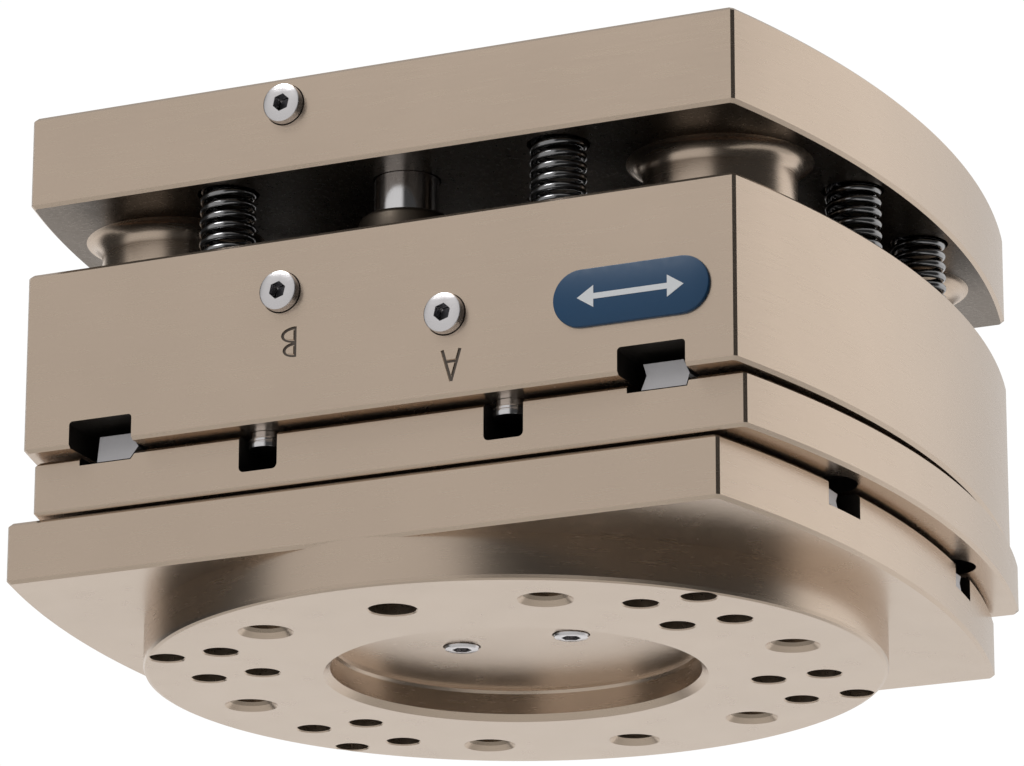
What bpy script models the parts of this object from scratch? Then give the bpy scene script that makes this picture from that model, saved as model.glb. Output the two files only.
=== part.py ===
"""Compliance (tolerance compensation) unit with a pneumatic lock.

A stack of four plates on a round robot flange.  The cross plate floats along X
on the flange plate, the housing floats along Y on the cross plate, and the top
plate floats along Z on coil springs above the housing.  A pneumatic piston in
the housing presses a friction pad on a brake plate to lock X and Y.

Lengths below are in millimetres; meshes are written in metres.
The unit is held at rest with the cross plate moved along X and the housing
moved along Y, as it stands when the lock is open.
"""

import math

import bmesh
import bpy

MM = 0.001

# ---------------------------------------------------------------- placement
SHIFT_X, SHIFT_Y = -3.75, 4.25      # flange axis to the middle of the bounding box
CROSS_DX = 7.5                      # cross plate against the flange plate
HOUSE_DY = -6.0                     # housing against the cross plate

# ---------------------------------------------------------------- plates
FLAT_Y = 100.0                      # half depth of every plate
ARC_R, ARC_X = 364.0, 249.5         # bowed sides
CORNER = 0.8                        # broken vertical corners
EDGE = 0.9                          # chamfer round the faces
Z_DISC = 12.0
Z_LOWER = (12.0, 28.5)
Z_CROSS = (29.5, 44.0)
Z_HOUSE = (45.0, 94.0)
Z_TOP = (112.5, 138.0)

# ---------------------------------------------------------------- flange
DISC_R, DISC_RIM = 100.0, 1.2
RECESS_R, RECESS_DEPTH, RECESS_RIM = 50.0, 8.7, 1.8
PATTERN_R = 80.0
TAPPED_R, TAPPED_MOUTH_R = 5.1, 7.35
SMALL_R, SMALL_X, SMALL_Y, SMALL_DEPTH = 4.85, (60.4, 76.5), (31.4, 55.4), 18.0
SCREWS = ((-14.2, -4.1), (17.9, -3.8))
BRAKE_R, BRAKE_Z = 33.4, (24.0, 28.2)

# ---------------------------------------------------------------- guides
X_GUIDE_Y = (-43.2, 44.6)
X_POCKET_HALF, X_POCKET_Z = 8.4, 21.6
X_SLOT_END, X_SLOT_TOP = 107.5, 33.5
Y_GUIDE_X = 77.8
Y_POCKET_HALF, Y_POCKET_Z, Y_NOTCH_Z = 9.2, 52.0, 41.7
# notches for the Y rails: one upright wall, and one that follows the rail's lower flank
Y_NOTCHES = (
    ((-87.0, 41.7), (-71.9, 41.7), (-68.7, 45.7), (-68.7, 46.0), (-87.0, 46.0)),
    ((68.6, 41.7), (84.95, 41.7), (86.0, 45.2), (86.0, 46.0), (68.6, 46.0)),
)
PIN_X, PIN_Y, PIN_R, PIN_BAND_R = 34.7, 88.7, 4.4, 5.0
PIN_SLOT_HALF, PIN_SLOT_Z, PIN_SLOT_END = 5.5, 34.2, 73.0

# ---------------------------------------------------------------- lock
BORE_R, BORE_Z = 30.5, (60.0, 80.0)
COVER_R = 33.2
ROD_R = 10.0
PAD_R, PAD_Z = 14.0, (30.0, 32.5)
PISTON_Z = (70.0, 77.0)
CROSS_EYE_R = 25.0
PORTS = {"A": (21.4, 66.9), "B": (-25.5, 79.1)}
TOP_PORT = (-25.3, 130.4)
PORT_R, PORT_DEPTH = 5.6, 11.0

# ---------------------------------------------------------------- Z float
BOSS_X, BOSS_Y, BOSS_R, BOSS_FILLET, BOSS_Z = 79.3, 57.5, 20.0, 5.0, 66.0
BUSH_R = 22.7
SPRING_AT = ((-47.5, -88.5), (47.5, -88.5), (-47.5, 88.5), (47.5, 88.5),
             (103.0, -24.0), (103.0, 24.0), (-103.0, -24.0), (-103.0, 24.0))
SPRING_R, WIRE_R, SPRING_Z, SPRING_TURNS = 6.5, 1.0, (86.5, 120.5), 10.5
SPRING_HOLE_R = 8.2
ROD_Y, GUIDE_R, COLLAR_R = 79.0, 8.5, 12.5   # polished rods that stop the top plate

ROUNDNESS = 0.62                    # share of the full number of facets on round shapes

for old in list(bpy.data.objects):
    bpy.data.objects.remove(old, do_unlink=True)

SCENE = bpy.context.scene.collection
BODY_AT = {
    "flange": (0.0, 0.0),
    "x_cages": (CROSS_DX / 2, 0.0),
    "cross": (CROSS_DX, 0.0),
    "y_cages": (CROSS_DX, HOUSE_DY / 2),
    "house": (CROSS_DX, HOUSE_DY),
}


# ---------------------------------------------------------------- materials
def material(name, colour, metallic, roughness):
    m = bpy.data.materials.new(name)
    m.use_nodes = True
    shader = m.node_tree.nodes["Principled BSDF"]
    shader.inputs["Base Color"].default_value = (*colour, 1.0)
    shader.inputs["Metallic"].default_value = metallic
    shader.inputs["Roughness"].default_value = roughness
    m.diffuse_color = (*colour, 1.0)
    return m


LOOKS = {
    "anodised": ((0.50, 0.43, 0.36), 0.8, 0.38),
    "steel": ((0.62, 0.62, 0.63), 1.0, 0.28),
    "dark_steel": ((0.12, 0.12, 0.13), 1.0, 0.35),
    "spring": ((0.03, 0.03, 0.035), 0.8, 0.3),
    "rubber": ((0.02, 0.02, 0.02), 0.0, 0.7),
    "bronze": ((0.42, 0.26, 0.14), 1.0, 0.35),
    "lining": ((0.10, 0.08, 0.07), 0.0, 0.85),
    "badge": ((0.01, 0.05, 0.14), 0.0, 0.3),
}


# ---------------------------------------------------------------- shapes
# A shape is (points, faces) in millimetres.
def turned(i, n):
    a = 2 * math.pi * i / n
    return math.cos(a), math.sin(a)


def loft(rings):
    """A solid through rings of equal length, capped at both ends."""
    n = len(rings[0])
    points = [p for ring in rings for p in ring]
    faces = []
    for k in range(len(rings) - 1):
        for i in range(n):
            j = (i + 1) % n
            faces.append((k * n + i, k * n + j, (k + 1) * n + j, (k + 1) * n + i))
    faces.append(tuple(reversed(range(n))))
    faces.append(tuple((len(rings) - 1) * n + i for i in range(n)))
    return points, faces


def prism(outline, lo, hi, axis="z"):
    """An outline run along an axis: (x, y) along z, (x, z) along y, (y, z) along x."""
    place = {
        "z": lambda a, b, t: (a, b, t),
        "y": lambda a, b, t: (a, t, b),
        "x": lambda a, b, t: (t, a, b),
    }[axis]
    return loft([[place(a, b, t) for a, b in outline] for t in (lo, hi)])


def box(x0, x1, y0, y1, z0, z1):
    return prism([(x0, y0), (x1, y0), (x1, y1), (x0, y1)], z0, z1)


def revolve(profile, n, at=(0.0, 0.0, 0.0), axis="z", ring=False):
    """A profile of (radius, height) turned about an axis through `at`."""
    n = max(12, 2 * int(n * ROUNDNESS / 2))
    points, where = [], []
    for r, h in profile:
        if r < 1e-9:
            where.append([len(points)] * n)
            points.append((0.0, 0.0, h))
        else:
            where.append(list(range(len(points), len(points) + n)))
            points += [(r * turned(i, n)[0], r * turned(i, n)[1], h) for i in range(n)]
    faces = []
    steps = len(profile) if ring else len(profile) - 1
    for k in range(steps):
        low, high = where[k], where[(k + 1) % len(profile)]
        for i in range(n):
            j = (i + 1) % n
            face = []
            for v in (low[i], low[j], high[j], high[i]):
                if v not in face:
                    face.append(v)
            if len(face) > 2:
                faces.append(tuple(face))
    turn = {
        "z": lambda x, y, h: (x, y, h),
        "y": lambda x, y, h: (x, h, y),
    }[axis]
    moved = [turn(*p) for p in points]
    return [(x + at[0], y + at[1], z + at[2]) for x, y, z in moved], faces


def rod(r, lo, hi, at, n=16):
    return revolve([(0, lo), (r, lo), (r, hi), (0, hi)], n, (at[0], at[1], 0.0))


def together(shapes):
    points, faces = [], []
    for p, f in shapes:
        base = len(points)
        points += p
        faces += [tuple(base + v for v in face) for face in f]
    return points, faces


def mesh_of(name, shape):
    mesh = bpy.data.meshes.new(name)
    points, faces = shape
    mesh.from_pydata([(x * MM, y * MM, z * MM) for x, y, z in points], [], faces)
    b = bmesh.new()
    b.from_mesh(mesh)
    bmesh.ops.recalc_face_normals(b, faces=b.faces)
    b.to_mesh(mesh)
    b.free()
    return mesh


def helper(name, shape, body):
    """A cutter or an addition, in its body's frame."""
    obj = bpy.data.objects.new(name, mesh_of(name, shape))
    SCENE.objects.link(obj)
    x, y = BODY_AT[body]
    obj.location = ((x + SHIFT_X) * MM, (y + SHIFT_Y) * MM, 0.0)
    obj.hide_render = True
    obj.display_type = "WIRE"
    return obj


def piece(name, shape, look, body, cuts=(), adds=(), smooth=True):
    """One sub-part in its body's frame, with its additions joined and its holes cut."""
    obj = bpy.data.objects.new(name, mesh_of(name, shape))
    SCENE.objects.link(obj)
    x, y = BODY_AT[body]
    obj.location = ((x + SHIFT_X) * MM, (y + SHIFT_Y) * MM, 0.0)
    obj.data.materials.append(material(name, *LOOKS[look]))
    for kind, groups in (("UNION", adds), ("DIFFERENCE", cuts)):
        for i, group in enumerate(groups):
            modifier = obj.modifiers.new(f"{kind.lower()}_{i}", "BOOLEAN")
            modifier.operation = kind
            modifier.solver = "EXACT"
            modifier.object = helper(f"{name}_{kind.lower()}_{i}", together(group), body)
    if smooth:
        obj.data.shade_smooth()
        obj.data.set_sharp_from_angle(angle=math.radians(30))
    return obj


def plate_outline(inset=0.0, steps=12):
    """Flat front and back, bowed sides, corners broken."""
    flat, radius = FLAT_Y - inset, ARC_R - inset
    end = math.asin((flat - CORNER) / radius)
    right = []
    for i in range(steps + 1):
        a = -end + 2 * end * i / steps
        right.append((radius * math.cos(a) - ARC_X, radius * math.sin(a)))
    corner_x = right[0][0] - CORNER
    right = [(corner_x, -flat), *right, (corner_x, flat)]
    return right + [(-x, -y) for x, y in right]


def plate(z0, z1, edge=EDGE):
    return loft([
        [(x, y, z0) for x, y in plate_outline(edge)],
        [(x, y, z0 + edge) for x, y in plate_outline()],
        [(x, y, z1 - edge) for x, y in plate_outline()],
        [(x, y, z1) for x, y in plate_outline(edge)],
    ])


def rounded_slot(cx, cy, half_x, half_y, z0, z1, steps=6):
    """A slot along X with round ends."""
    pts = []
    for side in (1, -1):
        for i in range(steps + 1):
            a = -math.pi / 2 + math.pi * i / steps
            pts.append((cx + side * (half_x - half_y + half_y * math.cos(a)),
                        cy + side * half_y * math.sin(a)))
    return prism(pts, z0, z1)


def hexagon(cx, cz, flats, turn=0.0):
    r = flats / math.sqrt(3)
    return [(cx + r * math.cos(turn + i * math.pi / 3), cz + r * math.sin(turn + i * math.pi / 3))
            for i in range(6)]


def plug_hole(x, z, face=-FLAT_Y, r=PORT_R, depth=PORT_DEPTH, n=20):
    return revolve([(0, face - 1), (r, face - 1), (r, face + depth), (0, face + depth)],
                   n, (x, 0.0, z), "y")


def port_plug(name, x, z):
    """A socket plug that stands 2.5 mm out of a front face."""
    face = -FLAT_Y
    profile = [(0, face - 2.5), (4.7, face - 2.5), (5.3, face - 1.9), (5.3, face + 10), (0, face + 10)]
    body = revolve(profile, 24, (x, 0.0, z), "y")
    socket = prism(hexagon(x, z, 5.0, 0.3), face - 3.5, face + 3.0, "y")
    return piece(name, body, "steel", "house", cuts=[[socket]])


# ---------------------------------------------------------------- flange body
def flange_plate():
    disc = revolve([(0, 0), (DISC_R - DISC_RIM, 0), (DISC_R, DISC_RIM), (DISC_R, Z_DISC + 3),
                    (0, Z_DISC + 3)], 96)
    recess = revolve([(0, -1), (RECESS_R + RECESS_RIM + 1, -1), (RECESS_R, RECESS_RIM),
                      (RECESS_R, RECESS_DEPTH), (0, RECESS_DEPTH)], 64)
    holes = []
    for k in (0, 1, 2, 3, 4, 5):
        a = k * math.pi / 3
        at = (PATTERN_R * math.cos(a), PATTERN_R * math.sin(a), 0.0)
        holes.append(revolve([(0, -1), (TAPPED_MOUTH_R + 1, -1), (TAPPED_R, TAPPED_MOUTH_R - TAPPED_R),
                              (TAPPED_R, 20), (0, 20)], 20, at))
    holes.append(revolve([(0, -1), (8.25, -1), (5.5, 1.75), (5.5, 18), (0, 18)], 20, (0.0, PATTERN_R, 0.0)))
    holes.append(rod(6.25, -1, 16, (0.0, -76.0), 20))
    for x in SMALL_X:
        for y in SMALL_Y:
            for sx in (-1, 1):
                for sy in (-1, 1):
                    holes.append(rod(SMALL_R, -1, SMALL_DEPTH, (sx * x, sy * y)))
    screw_holes = [revolve([(0, 7), (5.1, 7), (5.1, 14), (3.0, 14), (3.0, 25), (0, 25)], 16, (x, y, 0.0))
                   for x, y in SCREWS]
    top = [revolve([(0, BRAKE_Z[0] - 0.3), (BRAKE_R + 0.3, BRAKE_Z[0] - 0.3), (BRAKE_R + 0.3, 30), (0, 30)], 48)]
    for y in X_GUIDE_Y:
        top.append(box(-125, 125, y - X_POCKET_HALF, y + X_POCKET_HALF, X_POCKET_Z, 30))
    piece("flange_plate", plate(*Z_LOWER), "anodised", "flange",
          adds=[[disc]], cuts=[[recess], holes, top, screw_holes])


def brake_plate():
    holes = [rod(3.0, 22, 27, at, 12) for at in SCREWS]
    z0, z1 = BRAKE_Z
    body = revolve([(0, z0), (BRAKE_R - 0.6, z0), (BRAKE_R, z0 + 0.6), (BRAKE_R, z1 - 0.6),
                    (BRAKE_R - 0.6, z1), (0, z1)], 48)
    piece("brake_plate", body, "dark_steel", "flange", cuts=[holes])


def recess_screws():
    for side, (x, y) in zip("LR", SCREWS):
        body = revolve([(0, 7.8), (4.2, 7.8), (4.8, 8.4), (4.8, 13.7), (2.7, 13.7), (2.7, 26.4),
                        (2.3, 26.7), (0, 26.7)], 20, (x, y, 0.0))
        socket = prism(hexagon(x, y, 4.6, 0.5), 6.0, 11.0)
        piece(f"recess_screw_{side}", body, "steel", "flange", cuts=[[socket]])


def x_ways():
    for side, c in zip("FB", X_GUIDE_Y):
        outline = [(c - 8.0, 21.9), (c - 2.0, 21.9), (c - 3.2, 23.8), (c - 2.0, 25.9), (c - 8.0, 25.9)]
        end = math.sqrt(ARC_R ** 2 - max(abs(c - 8.0), abs(c - 2.0)) ** 2) - ARC_X - 0.2
        piece(f"x_way_{side}", prism(outline, -end, end, "x"), "steel", "flange", smooth=False)


# ---------------------------------------------------------------- roller cages
def cages():
    for side, c in zip("FB", X_GUIDE_Y):
        outline = [(c - 1.7, 22.3), (c + 0.1, 22.3), (c + 0.1, 25.4), (c - 1.7, 25.4)]
        cuts = [[box(x - 2.2, x + 2.2, c - 3, c + 1, 22.9, 24.8) for x in range(-60, 61, 15)]]
        piece(f"x_cage_{side}", prism(outline, -68, 68, "x"), "bronze", "x_cages", cuts=cuts, smooth=False)
    for side, c in zip("LR", (-75.8, 78.6)):
        cuts = [[box(c - 3.6, c + 3.6, y - 1.6, y + 1.6, 48, 53) for y in range(-56, 57, 14)]]
        piece(f"y_cage_{side}", box(c - 4.8, c + 4.8, -65, 65, 49.0, 51.7), "bronze", "y_cages",
              cuts=cuts, smooth=False)


# ---------------------------------------------------------------- cross body
def cross_plate():
    cuts = [[rod(CROSS_EYE_R, 28, 46, (0, 0), 40)]]
    cuts.append([rounded_slot(0, y, X_SLOT_END, 8.6, 28, X_SLOT_TOP) for y in X_GUIDE_Y])
    cuts.append([prism(outline, -102, 102, "y") for outline in Y_NOTCHES])
    slots = []
    for sx in (-1, 1):
        for sy in (-1, 1):
            h, r = PIN_SLOT_HALF, 1.2
            outline = [(-h, 46), (-h, PIN_SLOT_Z + r), (-h + r, PIN_SLOT_Z), (h - r, PIN_SLOT_Z),
                       (h, PIN_SLOT_Z + r), (h, 46)]
            outline = [(sx * PIN_X + a, b) for a, b in outline]
            lo, hi = sorted((sy * PIN_SLOT_END, sy * 102))
            slots.append(prism(outline, lo, hi, "y"))
    cuts.append(slots)
    piece("cross_plate", plate(*Z_CROSS), "anodised", "cross", cuts=cuts)


def cross_rails():
    for side, c in zip("FB", X_GUIDE_Y):
        outline = [(c + 0.4, 22.3), (c + 7.4, 22.3), (c + 7.4, 33.2), (c + 0.4, 33.2),
                   (c + 0.4, 25.4), (c + 1.6, 23.85)]
        piece(f"x_rail_{side}", prism(outline, -85, 85, "x"), "dark_steel", "cross", smooth=False)
    left = [(-81.8, 42.0), (-72.1, 42.0), (-69.7, 45.0), (-72.0, 48.7), (-81.1, 48.7)]
    right = [(72.5, 42.0), (84.7, 42.0), (85.6, 45.0), (84.0, 48.7), (73.1, 48.7), (74.0, 45.6)]
    for side, outline in (("L", left), ("R", right)):
        piece(f"y_rail_{side}", prism(outline, -99.9, 99.9, "y"), "steel", "cross", smooth=False)


# ---------------------------------------------------------------- housing body
def housing():
    cylinder = revolve([(0, 44), (ROD_R + 0.3, 44), (ROD_R + 0.3, 50), (14, 50), (14, 54),
                        (ROD_R + 0.3, 54), (ROD_R + 0.3, BORE_Z[0]), (BORE_R, BORE_Z[0]),
                        (BORE_R, BORE_Z[1]), (COVER_R + 0.3, BORE_Z[1]), (COVER_R + 0.3, 95), (0, 95)], 48)
    guides = [rod(BUSH_R + 0.3, 55, 95, (sx * BOSS_X, sy * BOSS_Y), 32) for sx in (-1, 1) for sy in (-1, 1)]
    seats = [rod(SPRING_HOLE_R, SPRING_Z[0] - 0.3, 95, at, 20) for at in SPRING_AT]
    rods = [revolve([(0, 44), (11.4, 44), (11.4, 75), (GUIDE_R + 0.4, 75), (GUIDE_R + 0.4, 95), (0, 95)], 24,
                    (0, s * ROD_Y, 0)) for s in (-1, 1)]
    h, t = Y_POCKET_HALF, Y_POCKET_Z
    under = [prism([(s * Y_GUIDE_X + a, b) for a, b in ((-h, 44), (h, 44), (h, t - 1), (h - 1, t), (1 - h, t), (-h, t - 1))],
                   -102, 102, "y") for s in (-1, 1)]
    pins = [rod(PIN_R + 0.3, 44, 56.3, (sx * PIN_X, sy * PIN_Y), 24) for sx in (-1, 1) for sy in (-1, 1)]
    ports = []
    for x, z in PORTS.values():
        face, end = -FLAT_Y, -14.0
        ports.append(revolve([(0, face - 1), (PORT_R, face - 1), (PORT_R, face + PORT_DEPTH),
                              (1.5, face + PORT_DEPTH), (1.5, end), (0, end)], 20, (x, 0.0, z), "y"))
    piece("housing", plate(*Z_HOUSE), "anodised", "house",
          cuts=[[cylinder], guides + seats, rods, under, pins, ports])


def housing_fittings():
    z = BORE_Z[1]
    cover = revolve([(0, z + 0.3), (COVER_R - 0.6, z + 0.3), (COVER_R, z + 0.9), (COVER_R, z + 7.4),
                     (COVER_R - 0.6, z + 8), (0, z + 8)], 48)
    jack = [rod(2.5, z + 3, z + 9, at, 12) for at in ((-18, 0), (18, 0))]
    piece("cylinder_cover", cover, "anodised", "house", cuts=[jack])
    ring = revolve([(28.5, z + 8.3), (COVER_R, z + 8.3), (COVER_R, z + 9.9), (28.5, z + 9.9)], 48, ring=True)
    piece("retaining_ring", ring, "dark_steel", "house", cuts=[[box(20, 40, -3, 3, z + 7, z + 11)]])
    seal = revolve([(ROD_R + 0.3, 50.3), (13.7, 50.3), (13.7, 53.7), (ROD_R + 0.3, 53.7)], 32, ring=True)
    piece("rod_seal", seal, "rubber", "house")
    for i, (sx, sy) in enumerate(((-1, -1), (1, -1), (-1, 1), (1, 1))):
        name = ("FL", "FR", "BL", "BR")[i]
        bush = revolve([(BOSS_R + 0.3, 60), (BUSH_R, 60), (BUSH_R, 93.7), (BOSS_R + 0.3, 93.7)], 32,
                       (sx * BOSS_X, sy * BOSS_Y, 0), ring=True)
        piece(f"guide_bush_{name}", bush, "bronze", "house")
        pin = revolve([(0, 40.6), (PIN_BAND_R - 0.4, 40.6), (PIN_BAND_R, 41.0), (PIN_BAND_R, 43.0), (PIN_R, 43.4),
                       (PIN_R, 56), (0, 56)], 24, (sx * PIN_X, sy * PIN_Y, 0))
        piece(f"stop_pin_{name}", pin, "steel", "house")
    for side, s in (("F", -1), ("B", 1)):
        collar = revolve([(GUIDE_R + 0.4, 94.3), (COLLAR_R, 94.3), (COLLAR_R, 100.3), (COLLAR_R - 1.2, 101.5),
                          (GUIDE_R + 0.4, 101.5)], 32, (0, s * ROD_Y, 0), ring=True)
        piece(f"rod_collar_{side}", collar, "anodised", "house")
    for letter, (x, z) in PORTS.items():
        port_plug(f"port_plug_{letter}", x, z)
    w, h, cx, cz = 21.2, 7.55, 72.7, 65.95
    pill = []
    for side in (1, -1):
        for i in range(9):
            a = -math.pi / 2 + math.pi * i / 8
            pill.append((cx + side * (w - h + h * math.cos(a)), cz + side * h * math.sin(a)))
    piece("name_badge", prism(pill, -FLAT_Y - 1.1, -FLAT_Y - 0.3, "y"), "badge", "house", smooth=False)


def springs():
    z0, z1 = SPRING_Z[0] + WIRE_R, SPRING_Z[1] - WIRE_R
    per_turn, sides = 7, 4
    steps = int(SPRING_TURNS * per_turn)
    rings = []
    for k in range(steps + 1):
        a = 2 * math.pi * k / per_turn
        z = z0 + (z1 - z0) * k / steps
        ring = []
        for i in range(sides):
            c, s = turned(i, sides)
            r = SPRING_R + WIRE_R * c
            ring.append((r * math.cos(a), r * math.sin(a), z + WIRE_R * s))
        rings.append(ring)
    for i, (x, y) in enumerate(SPRING_AT):
        points, faces = loft(rings)
        points = [(p[0] + x, p[1] + y, p[2]) for p in points]
        piece(f"spring_{i + 1}", (points, faces), "spring", "house")


# ---------------------------------------------------------------- lock piston
def lock():
    p0, p1 = PISTON_Z
    body = revolve([(0, 32.8), (ROD_R - 0.6, 32.8), (ROD_R, 33.4), (ROD_R, p0), (29.5, p0), (30.2, p0 + 0.6),
                    (30.2, p0 + 2), (27, p0 + 2), (27, p0 + 5), (30.2, p0 + 5), (30.2, p1 - 0.6), (29.5, p1),
                    (0, p1)], 40)
    piece("lock_piston", body, "steel", "house")
    seal = revolve([(27.3, p0 + 2.3), (30.1, p0 + 2.3), (30.3, p0 + 3.5), (30.1, p0 + 4.7), (27.3, p0 + 4.7)],
                   40, ring=True)
    piece("piston_seal", seal, "rubber", "house")
    z0, z1 = PAD_Z
    pad = revolve([(0, z0), (PAD_R - 0.8, z0), (PAD_R, z0 + 0.8), (PAD_R, z1), (0, z1)], 32)
    piece("brake_pad", pad, "lining", "house")


# ---------------------------------------------------------------- top body
def top_plate():
    under, over = Z_TOP
    bosses = []
    for sx in (-1, 1):
        for sy in (-1, 1):
            fillet = [(BOSS_R + BOSS_FILLET * (1 - math.cos(a)), under - BOSS_FILLET * (1 - math.sin(a)))
                      for a in (i * math.pi / 6 for i in range(4))]
            profile = [(0, BOSS_Z), (BOSS_R - 1, BOSS_Z), (BOSS_R, BOSS_Z + 1), *fillet,
                       (BOSS_R + BOSS_FILLET, under + 3), (0, under + 3)]
            bosses.append(revolve(profile, 32, (sx * BOSS_X, sy * BOSS_Y, 0)))
    seats = [rod(SPRING_HOLE_R, under - 1, SPRING_Z[1] + 0.3, at, 20) for at in SPRING_AT]
    seats += [rod(GUIDE_R + 0.4, under - 1, 124.3, (0, s * ROD_Y), 24) for s in (-1, 1)]
    recess = revolve([(0, over - 6), (RECESS_R, over - 6), (RECESS_R, over - 1), (RECESS_R + 2, over + 1),
                      (0, over + 1)], 64)
    tapped = []
    for k in range(6):
        a = k * math.pi / 3
        tapped.append(revolve([(0, over - 18), (TAPPED_R, over - 18), (TAPPED_R, over - 1.4),
                               (TAPPED_R + 2.4, over + 1), (0, over + 1)], 20,
                              (PATTERN_R * math.cos(a), PATTERN_R * math.sin(a), 0)))
    piece("top_plate", plate(*Z_TOP), "anodised", "house", adds=[bosses],
          cuts=[seats, [recess], tapped, [plug_hole(*TOP_PORT)]])


def top_fittings():
    for side, s in (("F", -1), ("B", 1)):
        body = revolve([(0, 67.7), (9.9, 67.7), (10.7, 68.5), (10.7, 74.7), (GUIDE_R, 74.7), (GUIDE_R, 124.0),
                        (0, 124.0)], 24, (0, s * ROD_Y, 0))
        socket = prism(hexagon(0, s * ROD_Y, 8.0), 66.0, 71.7)
        piece(f"guide_rod_{side}", body, "steel", "house", cuts=[[socket]])
    port_plug("top_plug", *TOP_PORT)


flange_plate()
brake_plate()
recess_screws()
x_ways()
cages()
cross_plate()
cross_rails()
housing()
housing_fittings()
springs()
lock()
top_plate()
top_fittings()
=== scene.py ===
"""Looks for the compliance unit: finely cut plates, springs, ports and finishes
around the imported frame, with the camera and studio."""

import math

import bmesh
import bpy
from mathutils import Matrix

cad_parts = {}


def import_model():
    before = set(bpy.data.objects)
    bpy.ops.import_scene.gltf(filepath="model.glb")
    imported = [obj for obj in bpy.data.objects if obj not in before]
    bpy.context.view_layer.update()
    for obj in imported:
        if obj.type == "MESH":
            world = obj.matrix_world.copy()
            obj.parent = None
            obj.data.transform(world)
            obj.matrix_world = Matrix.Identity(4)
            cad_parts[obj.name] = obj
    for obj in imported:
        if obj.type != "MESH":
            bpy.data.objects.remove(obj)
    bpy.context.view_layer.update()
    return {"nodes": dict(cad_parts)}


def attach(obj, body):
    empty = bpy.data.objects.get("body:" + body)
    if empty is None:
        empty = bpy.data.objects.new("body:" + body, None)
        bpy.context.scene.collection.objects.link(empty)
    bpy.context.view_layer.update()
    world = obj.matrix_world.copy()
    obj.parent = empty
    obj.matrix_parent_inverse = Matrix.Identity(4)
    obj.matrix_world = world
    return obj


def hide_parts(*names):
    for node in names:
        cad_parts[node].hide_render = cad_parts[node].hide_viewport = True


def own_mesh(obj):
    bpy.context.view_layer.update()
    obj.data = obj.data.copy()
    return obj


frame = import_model()

MM = 0.001

# ---------------------------------------------------------------- placement
SHIFT_X, SHIFT_Y = -3.75, 4.25      # flange axis to the middle of the bounding box
CROSS_DX = 7.5                      # cross plate against the flange plate
HOUSE_DY = -6.0                     # housing against the cross plate

# ---------------------------------------------------------------- plates
FLAT_Y = 100.0                      # half depth of every plate
ARC_R, ARC_X = 364.0, 249.5         # bowed sides
CORNER = 0.8                        # broken vertical corners
EDGE = 0.9                          # chamfer round the faces
Z_DISC = 12.0
Z_LOWER = (12.0, 28.5)
Z_CROSS = (29.5, 44.0)
Z_HOUSE = (45.0, 94.0)
Z_TOP = (112.5, 138.0)

# ---------------------------------------------------------------- flange
DISC_R, DISC_RIM = 100.0, 1.2
RECESS_R, RECESS_DEPTH, RECESS_RIM = 50.0, 8.7, 1.8
PATTERN_R = 80.0
TAPPED_R, TAPPED_MOUTH_R = 5.1, 7.35
SMALL_R, SMALL_X, SMALL_Y, SMALL_DEPTH = 4.85, (60.4, 76.5), (31.4, 55.4), 18.0
SCREWS = ((-14.2, -4.1), (17.9, -3.8))
BRAKE_R, BRAKE_Z = 33.4, (24.0, 28.2)

# ---------------------------------------------------------------- guides
X_GUIDE_Y = (-43.2, 44.6)
X_POCKET_HALF, X_POCKET_Z = 8.4, 21.6
X_SLOT_END, X_SLOT_TOP = 107.5, 33.5
Y_GUIDE_X = 77.8
Y_POCKET_HALF, Y_POCKET_Z, Y_NOTCH_Z = 9.2, 52.0, 41.7
# notches for the Y rails: one upright wall, and one that follows the rail's lower flank
Y_NOTCHES = (
    ((-87.0, 41.7), (-71.9, 41.7), (-68.7, 45.7), (-68.7, 46.0), (-87.0, 46.0)),
    ((68.6, 41.7), (84.95, 41.7), (86.0, 45.2), (86.0, 46.0), (68.6, 46.0)),
)
PIN_X, PIN_Y, PIN_R, PIN_BAND_R = 34.7, 88.7, 4.4, 5.0
PIN_SLOT_HALF, PIN_SLOT_Z, PIN_SLOT_END = 5.5, 34.2, 73.0

# ---------------------------------------------------------------- lock
BORE_R, BORE_Z = 30.5, (60.0, 80.0)
COVER_R = 33.2
ROD_R = 10.0
PAD_R, PAD_Z = 14.0, (30.0, 32.5)
PISTON_Z = (70.0, 77.0)
CROSS_EYE_R = 25.0
PORTS = {"A": (21.4, 66.9), "B": (-25.5, 79.1)}
TOP_PORT = (-25.3, 130.4)
PORT_R, PORT_DEPTH = 5.6, 11.0

# ---------------------------------------------------------------- Z float
BOSS_X, BOSS_Y, BOSS_R, BOSS_FILLET, BOSS_Z = 79.3, 57.5, 20.0, 5.0, 66.0
BUSH_R = 22.7
SPRING_AT = ((-47.5, -88.5), (47.5, -88.5), (-47.5, 88.5), (47.5, 88.5),
             (103.0, -24.0), (103.0, 24.0), (-103.0, -24.0), (-103.0, 24.0))
SPRING_R, WIRE_R, SPRING_Z, SPRING_TURNS = 6.5, 1.0, (86.5, 120.5), 10.5
SPRING_HOLE_R = 8.2
ROD_Y, GUIDE_R, COLLAR_R = 79.0, 8.5, 12.5   # polished rods that stop the top plate


SCENE = bpy.context.scene.collection
BODY_AT = {
    "flange": (0.0, 0.0),
    "x_cages": (CROSS_DX / 2, 0.0),
    "cross": (CROSS_DX, 0.0),
    "y_cages": (CROSS_DX, HOUSE_DY / 2),
    "housing": (CROSS_DX, HOUSE_DY),
    "piston": (CROSS_DX, HOUSE_DY),
    "top": (CROSS_DX, HOUSE_DY),
}


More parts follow.
